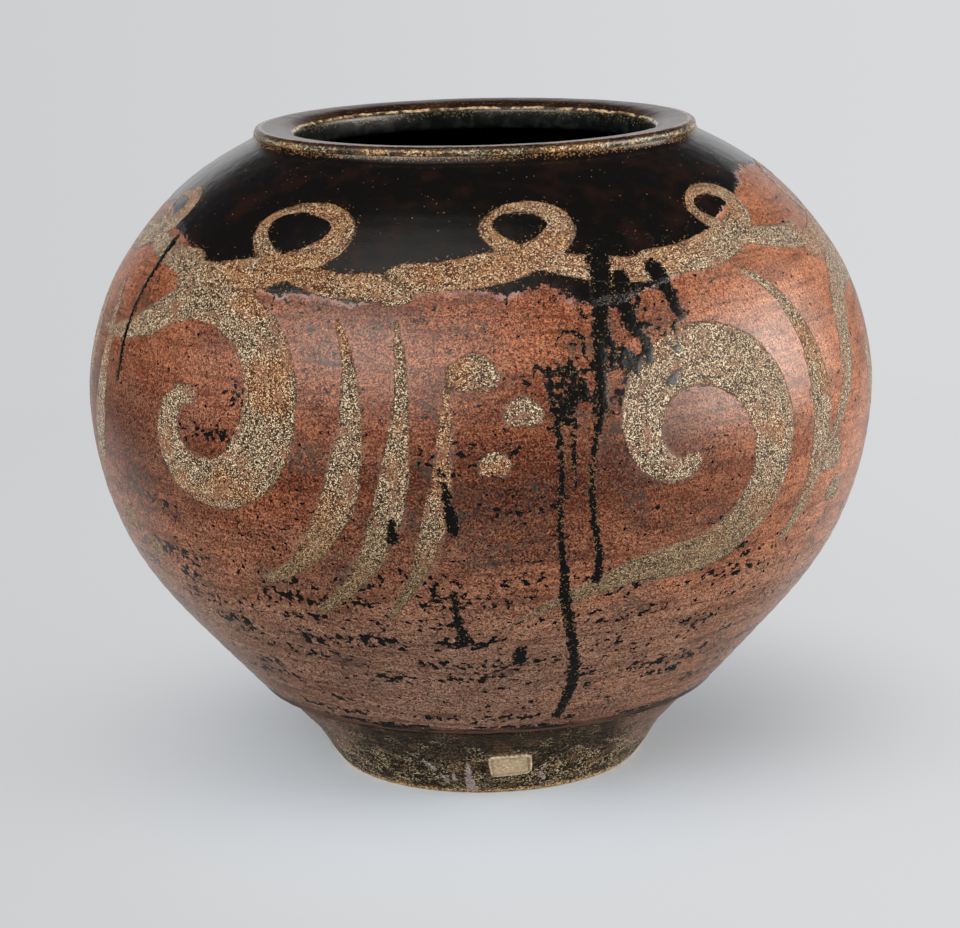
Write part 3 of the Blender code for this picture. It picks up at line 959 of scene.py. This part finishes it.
# %% Mix the body's glaze
RED_GRAINS = [(.28, (.045, .005, .002)), (.42, (.22, .045, .015)), (.60, (.41, .118, .043)),
              (.82, (.62, .29, .15))]
BROWN_GRAINS = [(.26, (.030, .010, .005)), (.42, (.265, .112, .063)), (.62, (.45, .238, .148)),
                (.84, (.60, .42, .29))]
SALMON_GRAINS = [(.24, (.12, .023, .009)), (.41, (.47, .155, .066)), (.61, (.64, .250, .120)),
                 (.84, (.75, .40, .22))]
DEEP_GRAINS = [(.30, (.010, .001, .0005)), (.47, (.062, .007, .002)), (.66, (.155, .036, .013)),
               (.86, (.33, .15, .075))]
DARK_RED, SALMON = (.065, .012, .006), (.42, .165, .085)
HAZE_DARK, HAZE_PALE, LILAC_AND_SHEEN = (.024, .021, .018), (.070, .062, .050), (.46, .27, .235)
BLACK, BLACK_BROWN, GOLD = (.0042, .0036, .0034), (.014, .006, .004), (.50, .30, .10)
TAN_GRAINS = [(.16, (.008, .003, .001)), (.38, (.100, .046, .017)), (.62, (.30, .178, .084)),
              (.94, (.95, .78, .52))]
ORANGE_GRAINS = [(.14, (.02, .004, .001)), (.37, (.18, .046, .012)), (.62, (.40, .150, .046)),
                 (.80, (.62, .35, .14)), (.96, (.93, .73, .45))]
ORANGE, OLIVE = (.40, .125, .045), (.115, .095, .052)


def body_glaze(name):
    glaze = Finish(name)
    speck = glaze.cells(0.46)
    fine = glaze.cells(0.38)
    grain = glaze.cloud(0.55, 2, rough=0.7)
    mixed = glaze.plus(glaze.times(speck, .55), glaze.times(grain, .75), -.15)
    rust = glaze.over(glaze.field("tone"), glaze.shades(mixed, RED_GRAINS),
                      glaze.shades(mixed, BROWN_GRAINS))
    salmon_and_side_light_patches = glaze.times(glaze.field("salmon_and_side_light"), glaze.patches(9, 3, .35, .62, .45, .95))
    rust = glaze.over(salmon_and_side_light_patches, rust, glaze.shades(mixed, SALMON_GRAINS))
    rust = glaze.over(glaze.times(glaze.field("deep_red_and_shade"), .9), rust, glaze.shades(mixed, DEEP_GRAINS))
    lines = glaze.cloud(26, 3, stretch=(1, 1, 16), rough=0.65)
    rust = glaze.over(glaze.rise(lines, .5, .64, 0, .5), rust, DARK_RED)
    bands = glaze.cloud(44, 4, stretch=(1, 1, 4.5), rough=0.62)
    banded = glaze.times(glaze.rise(bands, .47, .64, 0, .6),
                         glaze.between(glaze.field("tone"), 1, .45),
                         glaze.between(glaze.field("salmon_and_side_light"), 1, .5))
    rust = glaze.over(banded, rust, glaze.shades(mixed, DEEP_GRAINS))
    smoked = glaze.cloud(17, 4, stretch=(1, 1, 2.4), rough=0.6)
    rust = glaze.over(glaze.rise(smoked, .50, .68, 0, .30), rust,
                      glaze.over(mixed, (.035, .006, .003), (.16, .045, .02)))
    rust = glaze.over(glaze.rise(fine, .10, .08, 0, .75), rust, BLACK_BROWN)
    rust = glaze.over(glaze.rise(speck, .89, .91, 0, .55), rust, OLIVE)
    smoky = glaze.rise(glaze.cloud(2.2, 5, stretch=(1, 1, .6), rough=.75), .46, .54)
    smoky = glaze.times(glaze.field("haze"), smoky)
    rust = glaze.over(glaze.times(smoky, .88), rust, glaze.over(mixed, HAZE_DARK, HAZE_PALE))

    ragged = glaze.calc("SUBTRACT", glaze.cloud(1.7, 3, rough=.65), .5)
    height = glaze.apart(glaze.place)[2]
    pool_edge = glaze.plus(glaze.field("pool"), glaze.times(ragged, 7))
    pool = glaze.rise(pool_edge, -.15, .15)
    run_edge = glaze.plus(glaze.field("run"), glaze.times(ragged, 5.5))
    run = glaze.rise(run_edge, -.12, .12)
    hairs = glaze.together(glaze.times(glaze.field("along"), .05),
                           glaze.times(glaze.field("across"), .55))
    bristle = glaze.calc("SUBTRACT", glaze.cloud(1, 3, place=hairs, rough=.6), .5)
    slip_edge = glaze.plus(glaze.field("slip"), glaze.times(ragged, 1.8), glaze.times(bristle, 3.6))
    slip = glaze.rise(slip_edge, -.2, .25)

    on_black = glaze.rise(glaze.field("pool"), -6, 4)
    blobs = glaze.calc("SUBTRACT", glaze.cloud(.36, 1, rough=.6), .5)
    crystal = glaze.plus(glaze.times(fine, 1.1), glaze.times(blobs, 1.7),
                         glaze.times(bristle, .75), -.10)
    warm = glaze.calc("MAXIMUM", glaze.patches(24, 3, .50, .62),
                      glaze.times(on_black, glaze.patches(15, 3, .36, .56, .3, .95)))
    ochre = glaze.over(warm, glaze.shades(crystal, TAN_GRAINS),
                       glaze.shades(crystal, ORANGE_GRAINS))
    worn = glaze.plus(glaze.times(bristle, 2), glaze.cloud(6, 3), glaze.times(speck, .1))
    under = glaze.over(on_black, glaze.over(mixed, DARK_RED, SALMON),
                       glaze.shades(mixed, ORANGE_GRAINS))
    ochre = glaze.over(glaze.rise(worn, .64, .84, 0, .75), ochre, under)
    rim_line = glaze.times(glaze.rise(slip_edge, 1.1, .5), glaze.patches(7, 2, .42, .56), .6)
    ochre = glaze.over(rim_line, ochre, glaze.over(fine, (.02, .008, .004), (.22, .10, .045)))
    ochre = glaze.over(glaze.rise(height, 146, 104, 0, .72), ochre,
                       glaze.over(crystal, (.018, .009, .004), (.39, .245, .115)))

    # Partly painted highlight: the lilac rim along the black's lower edge is partly the glaze's own
    # colour and partly a painted sheen, where the raised edge catches the soft box.
    rim = glaze.times(glaze.rise(pool_edge, -2.6, -.5), glaze.patches(14, 2, .4, .55))
    rust = glaze.over(glaze.times(rim, .6), rust, LILAC_AND_SHEEN)
    halo = glaze.times(glaze.rise(slip_edge, -1.6, -.2), glaze.patches(12, 2, .46, .6))
    rust = glaze.over(glaze.times(halo, .16), rust, LILAC_AND_SHEEN)
    black = glaze.over(glaze.patches(11, 2, .45, .7), BLACK, BLACK_BROWN)
    near_edge = glaze.rise(glaze.calc("MINIMUM", pool_edge, glaze.times(slip_edge, -1)), 2.6, .2,
                           .0004, .055)
    near_edge = glaze.plus(near_edge, glaze.patches(16, 3, .54, .7, 0, .004),
                           glaze.rise(glaze.field("crease"), 2.6, .3, 0, .34))
    dust = glaze.cells(0.42)
    gold = glaze.rise(glaze.plus(dust, near_edge), .998, 1.0)
    black = glaze.over(glaze.times(gold, .5), black, glaze.over(fine, ORANGE, GOLD))
    sparse = glaze.times(glaze.patches(3.5, 2, .44, .58), glaze.rise(run_edge, 1.5, .3), .16)
    run_black = glaze.over(glaze.rise(glaze.plus(dust, sparse), .975, .99, 0, .4), BLACK, GOLD)

    pit_noise = glaze.cloud(2.8, 3, stretch=(1, 1, 1.25), rough=.55)
    pit_level = glaze.between(glaze.field("pitting"), .69, .45)
    pit = glaze.rise(glaze.calc("SUBTRACT", pit_noise, pit_level), 0, .012)

    colour = glaze.over(pit, rust, BLACK)
    # The lowest few millimetres of the body's glaze, just above the ledge, are dark brown to near
    # black.
    fringe = glaze.rise(glaze.plus(height, glaze.times(ragged, 4)), 36.6, 35.6)
    dark_base_band = glaze.over(glaze.rise(lines, .42, .52), (.012, .009, .007), (.11, .05, .03))
    colour = glaze.over(fringe, colour, dark_base_band)
    colour = glaze.over(pool, colour, black)
    colour = glaze.over(slip, colour, ochre)
    colour = glaze.over(run, colour, run_black)
    unglazed = glaze.rise(height, 32.3, 32.1)
    colour = glaze.over(unglazed, colour, (.16, .09, .055))

    bare_black = glaze.times(pool, glaze.calc("SUBTRACT", 1, slip))
    roughness = glaze.between(slip, glaze.between(pit, .35, .26), .31)
    roughness = glaze.between(glaze.calc("MAXIMUM", bare_black, run), roughness, .22)
    roughness = glaze.between(unglazed, roughness, .8)
    unrun_slip = glaze.times(slip, glaze.calc("SUBTRACT", 1, run))
    crinkle = glaze.plus(glaze.times(glaze.cloud(.62, 2, rough=.6), .7), glaze.times(fine, .12),
                         glaze.times(bristle, .8))
    relief = glaze.plus(glaze.times(glaze.cloud(1.6, 3, rough=.6), .12),
                        glaze.times(unrun_slip, crinkle), glaze.times(run, .14),
                        glaze.times(pit, -.12), glaze.times(glaze.rise(pool_edge, -1.6, .6), .16))
    smooth_black = glaze.times(glaze.rise(pool_edge, .6, 2.4), glaze.calc("SUBTRACT", 1, slip), .8)
    glaze.bump(glaze.between(smooth_black, relief, glaze.times(glaze.cloud(7, 2), .18)))
    return glaze.finish(colour, roughness, (1, .93, .86))


rust_glaze = body_glaze("rust_glaze")
shoulder_glaze = body_glaze("shoulder_glaze")
bowl.data.materials.append(rust_glaze)
shoulder.data.materials.append(shoulder_glaze)
print("nodes in the body's recipe:", len(rust_glaze.node_tree.nodes))

# %% [markdown]
# ## The lip's glaze
#
# On the lip the glaze is dark and glossy. It runs thin over the edges, where it breaks to gold, and
# speckles ochre round the outside. A pale line on the rounded top edge is a painted highlight, and
# the palest specks on the mouth's edge are painted glints. Two distances stored on the mesh, one
# from the edge of the mouth and one from the widest line, say where that happens.

# %% Mix the lip's glaze
def lip_finish():
    glaze = Finish("lip_glaze")
    ragged = glaze.calc("SUBTRACT", glaze.cloud(1.6, 3, rough=.65), .5)
    fine = glaze.cells(0.5)
    top = glaze.over(glaze.patches(12, 3, .38, .72), (.018, .006, .003), (.062, .027, .012))
    top = glaze.over(glaze.rise(glaze.plus(fine, glaze.times(ragged, .5)), .9, .98, 0, .5), top,
                     (.22, .15, .08))
    inside = glaze.over(glaze.patches(4, 3, .45, .65), (.0035, .005, .0045), (.012, .015, .0125))
    inner = glaze.plus(glaze.field("inner_edge"), glaze.times(ragged, 1.6))
    outer = glaze.plus(glaze.field("outer_edge"), glaze.times(ragged, 2.2))
    colour = glaze.over(glaze.rise(inner, .2, .9), top, inside)
    warm = glaze.shades(fine, [(.2, (.02, .012, .008)), (.42, (.26, .10, .03)),
                               (.7, (.50, .30, .11)), (.95, (.8, .62, .36))])
    green = glaze.shades(fine, [(.3, (.012, .010, .007)), (.5, (.11, .10, .06)),
                                (.78, (.36, .30, .17)), (.97, (.68, .56, .34))])
    band = glaze.times(glaze.rise(outer, -3.4, -2.4), glaze.rise(outer, 1.9, .9))
    band = glaze.times(band, glaze.patches(11, 3, .36, .48, .2, 1))
    speckled = glaze.over(glaze.patches(30, 2, .46, .56), warm, green)
    colour = glaze.over(glaze.times(band, .9), colour, speckled)
    # Painted highlight: a pale line on the rounded top edge of the lip stands in for the soft box's
    # reflection.
    line = glaze.times(glaze.rise(outer, 3.1, 3.6), glaze.rise(outer, 5.2, 4.4),
                       glaze.patches(15, 2, .36, .5, .3, 1))
    colour = glaze.over(glaze.times(line, .6), colour, (.46, .33, .27))
    # Partly painted highlight: the broken line on the mouth's edge is gold where the glaze ran
    # thin, and its palest specks are painted glints.
    broken = glaze.patches(5, 3, .42, .53, .08, 1)
    edge = glaze.times(glaze.rise(inner, -.7, -.2), glaze.rise(inner, 1.1, .4), broken)
    colour = glaze.over(glaze.times(edge, .9), colour,
                        glaze.over(fine, (.30, .12, .035), (.92, .74, .46)))
    below = glaze.rise(inner, 5, .6, -.02, .24)
    colour = glaze.over(glaze.times(glaze.rise(glaze.plus(fine, below), .98, 1.0),
                                    glaze.rise(inner, .5, 1.2), .5),
                        colour, (.24, .18, .075))
    glaze.bump(glaze.plus(glaze.times(glaze.cloud(5, 3), .16), glaze.times(band, .10),
                          glaze.times(glaze.cloud(1.4, 2), .05)))
    return glaze.finish(colour, glaze.between(band, glaze.between(edge, .25, .16), .34),
                        (1, .87, .77))


lip_ring.data.materials.append(lip_finish())

# %% [markdown]
# ## The foot's glaze
#
# The foot holds only a thin, dry wash: a dark olive brown full of fine ochre specks, brushed round
# on the wheel. Its left and right flanks are painted paler and browner, which is painted light from
# the side lamps. Pale scars show where it was handled, and the glaze was wiped off the very edge.

# %% Mix the foot's glaze
def foot_finish():
    glaze = Finish("foot_glaze")
    x, _, height = glaze.apart(glaze.place)
    fine = glaze.cells(0.48, stretch=(1, 1, 1.3))
    lines = glaze.cloud(14, 3, stretch=(1, 1, 7), rough=.7)
    mixed = glaze.plus(glaze.times(fine, .8), glaze.times(lines, .6), -.2)
    wash = glaze.shades(mixed, [(.36, (.004, .003, .002)), (.52, (.027, .017, .008)),
                                (.66, (.105, .064, .030)),
                                (.84, (.60, .46, .27))])
    dull = glaze.rise(glaze.plus(glaze.cloud(7, 4, rough=.6),
                                 glaze.times(glaze.rise(height, 9, 24), .10)), .50, .60, 0, .8)
    wash = glaze.over(dull, wash, glaze.over(fine, (.003, .002, .001), (.046, .029, .014)))
    rusty = glaze.patches(8, 3, .54, .66, 0, .5)
    wash = glaze.over(rusty, wash, glaze.over(fine, (.03, .012, .005), (.26, .12, .045)))
    ragged = glaze.calc("SUBTRACT", glaze.cloud(1.3, 3, rough=.7), .5)
    high = glaze.rise(glaze.plus(height, glaze.times(ragged, 6)), 23, 28.5, 0, .6)
    wash = glaze.over(high, wash, glaze.over(lines, (.003, .002, .001), (.070, .042, .022)))
    # Painted light: the flanks, left and right of the front, are painted paler and browner where
    # the side lamps light them.
    flank_painted_light = glaze.rise(glaze.plus(glaze.calc("ABSOLUTE", x), glaze.times(ragged, 14)), 44, 56, 0,
                       .8)
    flank_painted_light = glaze.times(flank_painted_light, glaze.patches(7, 3, .38, .56, .25, 1), glaze.rise(height, 6, 14))
    wash = glaze.over(flank_painted_light, wash, glaze.over(mixed, (.05, .022, .012), (.44, .27, .19)))
    scar = glaze.rise(glaze.plus(glaze.field("scar"), glaze.times(ragged, 2.8)), -.25, .25)
    scarred = glaze.over(fine, (.12, .08, .075), (.62, .49, .45))
    wash = glaze.over(glaze.times(scar, .9), wash, scarred)
    bare = glaze.rise(glaze.plus(height, glaze.times(ragged, 7)), 2.4, 1.3)
    crumbs = glaze.shades(glaze.plus(glaze.times(fine, .6), glaze.times(glaze.cloud(1.6, 3), .4)),
                          [(.28, (.02, .009, .004)), (.42, (.34, .14, .04)),
                           (.62, (.72, .44, .17)), (.85, (.92, .74, .45))])
    colour = glaze.over(bare, wash, crumbs)
    colour = glaze.over(glaze.rise(height, .25, .1), colour, (.30, .19, .11))
    glaze.bump(glaze.plus(glaze.times(fine, .10), glaze.times(lines, .35), glaze.times(scar, .15)))
    glaze.shader.inputs["Specular IOR Level"].default_value = .34
    return glaze.finish(colour, glaze.between(bare, .42, .8), (1, .93, .84))


foot_ring.data.materials.append(foot_finish())

# %% [markdown]
# ## Bare clay
#
# The pad's clay took no glaze. It is a pale buff with fine grit, and a painted shadow line runs
# along the inside of its raised border.

# %% Fire the pad
clay = Finish("pale_clay")
grit = clay.cloud(.9, 4, rough=.7)
buff = clay.shades(grit, [(.3, (.26, .165, .085)), (.48, (.56, .40, .23)), (.66, (.82, .68, .45))])
stained = clay.patches(3.5, 3, .5, .68, 0, .5)
buff = clay.over(stained, buff, (.40, .27, .14))
# Painted shadow: a dark line along the inside of the raised border, where it drops to the middle.
painted_shadow_line = clay.times(clay.rise(clay.field("border"), .7, 1.1),
                        clay.rise(clay.field("border"), 2.0, 1.4), .65)
buff = clay.over(painted_shadow_line, buff, (.20, .12, .06))
sunk = clay.rise(clay.plus(clay.field("border"), clay.times(grit, .8)), .55, .3)
clay.bump(clay.times(grit, .18))
clay_pad.data.materials.append(clay.finish(clay.over(sunk, buff, (.12, .06, .03)), .75))
print("finishes:", ", ".join(sorted(m.name for m in bpy.data.materials if m.users)))

# %% [markdown]
# ## The table and the light
#
# The jar stood on a sheet of pale paper between soft boxes: a very large one to the left, above
# the camera, and a low one on the right. Close to the jar the paper is painted a touch cooler, as a
# painted cool shade. The dark studio in front is what makes the lower wall look so deep a red. The
# paper is pale to the camera everywhere, with painted light a little darker to the left and lighter
# to the right. To reflections it is pale behind the jar and close to it, and dark further out at
# the front and the sides.

# %% Lay the paper
PAPER = (.643, .656, .667)
# Painted light: the paper and backdrop run from a little darker on the left to a little lighter on
# the right.
PAINTED_SIDE_LIGHT = (-.23, .2, .94, 1.065)
REACH = 12
floor_mesh = bpy.data.meshes.new("paper")
floor_mesh.from_pydata([(-REACH, -REACH, 0), (REACH, -REACH, 0), (REACH, REACH, 0),
                        (-REACH, REACH, 0)], [],
                       [(0, 1, 2, 3)])
floor = bpy.data.objects.new("paper", floor_mesh)
scene.collection.objects.link(floor)

paper = Finish("paper")
tree = paper.tree
x, y = paper.apart(paper.place)[:2]
away = paper.calc("SQRT", paper.plus(paper.times(x, x), paper.times(y, y)))
ahead = paper.plus(y, 1100)
sideways = paper.calc("DIVIDE", x, paper.calc("SQRT", paper.plus(paper.times(ahead, ahead), 40000)))
behind = paper.rise(paper.calc("ABSOLUTE", sideways), .46, .30)
behind = paper.times(paper.rise(y, -60, 120), behind)
pale = paper.calc("MAXIMUM", paper.times(paper.rise(away, 1500, 900), paper.rise(y, -900, -500)),
                  behind)
# Painted shade: the paper's colour turns cooler close to the jar, as shade looks.
sheet = paper.over(paper.rise(away, 230, 90), (.705, .72, .735), (.672, .722, .768))
paper.put(paper.shader.inputs["Base Color"], paper.over(pale, (.05, .05, .05), sheet))
paper.shader.inputs["Roughness"].default_value = 1
paper.shader.inputs["Specular IOR Level"].default_value = 0
path = tree.nodes.new("ShaderNodeLightPath").outputs
glow = tree.nodes.new("ShaderNodeEmission")
paper.put(glow.inputs["Color"], PAPER)
shown = paper.between(path["Is Glossy Ray"], 1, paper.between(behind, .15, 1))
paper.put(glow.inputs["Strength"], paper.times(paper.rise(sideways, *PAINTED_SIDE_LIGHT), shown))
seen = paper.calc("MAXIMUM", paper.rise(away, 60, 240, .05, .88), paper.rise(away, 300, 800))
seen = paper.times(path["Is Camera Ray"], seen)
mix = tree.nodes.new("ShaderNodeMixShader")
paper.put(mix.inputs[0], paper.calc("MAXIMUM", seen, path["Is Glossy Ray"]))
paper.put(mix.inputs[1], paper.shader.outputs[0])
paper.put(mix.inputs[2], glow.outputs[0])
paper.put(tree.nodes["Material Output"].inputs["Surface"], mix.outputs[0])
floor_mesh.materials.append(paper.material)

# %% [markdown]
# ## The soft boxes
#
# A soft box is brightest in its middle, and that gives the gloss its soft-edged lights. One lamp
# would reflect as a hard rectangle, so each box is three lamps, one inside the other. A low fill
# from the far left lights the edge and shows in no reflection.

# %% Hang the soft boxes
BOX_SHARES = ((1, 1.9, 3.3), (.66, 1.6, 2.8), (.36, 2.2, 3.2))
JAR_MIDDLE = 0.15


def towards(azimuth, elevation):
    """The way from the jar; azimuth 0 is the camera's side, and left is negative."""
    turn, rise = math.radians(azimuth), math.radians(elevation)
    return Vector((math.sin(turn) * math.cos(rise), -math.cos(turn) * math.cos(rise),
                   math.sin(rise)))


def soft_box(name, azimuth, elevation, distance, width, height, radiance):
    """An area light that faces the jar's middle."""
    place = towards(azimuth, elevation) * distance
    place.z += JAR_MIDDLE
    data = bpy.data.lights.new(name, "AREA")
    data.shape, data.size, data.size_y = "RECTANGLE", width, height
    data.energy = radiance * math.pi * width * height
    lamp = bpy.data.objects.new(name, data)
    lamp.location = place
    lamp.rotation_euler = (Vector((0, 0, JAR_MIDDLE)) - place).to_track_quat("-Z", "Y").to_euler()
    scene.collection.objects.link(lamp)
    print(name, round(data.energy, 1), "W")
    return lamp


for share, left, right in BOX_SHARES:
    soft_box(f"left_box_{share}", -37, 30, 2.4 - .02 * share, 3.6 * share, 1.5 * share, left)
    soft_box(f"right_box_{share}", 81, 11, 2.2 - .02 * share, 2.9 * share, 1.5 * share, right)
soft_box("left_fill", -104, 7, 2.4, 2.2, 1.0, 3.5).visible_glossy = False

# %% [markdown]
# ## The studio
#
# Behind the jar was a pale wall, overhead the ceiling caught some light, and the rest was dim. An
# even world would flatten the gloss. So the world is a faint fill with a pale wall and one round
# glow, and only the camera sees it as more of the same paper, so the floor has no far edge.

# %% Fill the studio
GLOW_EDGE = math.cos(math.radians(38))
world = bpy.data.worlds.new("studio")
scene.world = world
world.use_nodes = True
sky = Recipe(world.node_tree)
direction = sky.tree.nodes.new("ShaderNodeTexCoord").outputs["Generated"]
ray = sky.tree.nodes.new("ShaderNodeLightPath").outputs
x, y, z = sky.apart(direction)
back_wall = sky.times(sky.calc("MULTIPLY", sky.calc("SUBTRACT", y, .8), 12, clamp=True),
                      sky.calc("MULTIPLY", sky.calc("SUBTRACT", .36, z), 9, clamp=True))
facing_glow = sky.vector("DOT_PRODUCT", direction, towards(-32, 57), "Value")
overhead = sky.calc("DIVIDE", sky.calc("SUBTRACT", facing_glow, GLOW_EDGE), 1 - GLOW_EDGE,
                    clamp=True)
fill = sky.plus(sky.times(ray["Is Glossy Ray"], -.09), .12)
strength = sky.plus(sky.times(back_wall, .8), sky.plus(sky.times(overhead, .9), fill))
slant = sky.calc("DIVIDE", x, sky.plus(sky.calc("ABSOLUTE", y), .001))
background = sky.tree.nodes["Background"].inputs
camera_ray = ray["Is Camera Ray"]
# The camera sees the backdrop with the same painted light, darker to the left and lighter to the
# right.
sky.put(background["Strength"], sky.between(camera_ray, strength, sky.rise(slant, *PAINTED_SIDE_LIGHT)))
sky.put(background["Color"], sky.over(camera_ray, (1, 1, 1.02), PAPER))
print("nodes in the studio:", len(sky.tree.nodes))

# %% [markdown]
# ## The size
#
# The looks must not outgrow the solids. Last, the scene is brought up to date.

# %% Bring the scene up to date
bpy.context.view_layer.update()
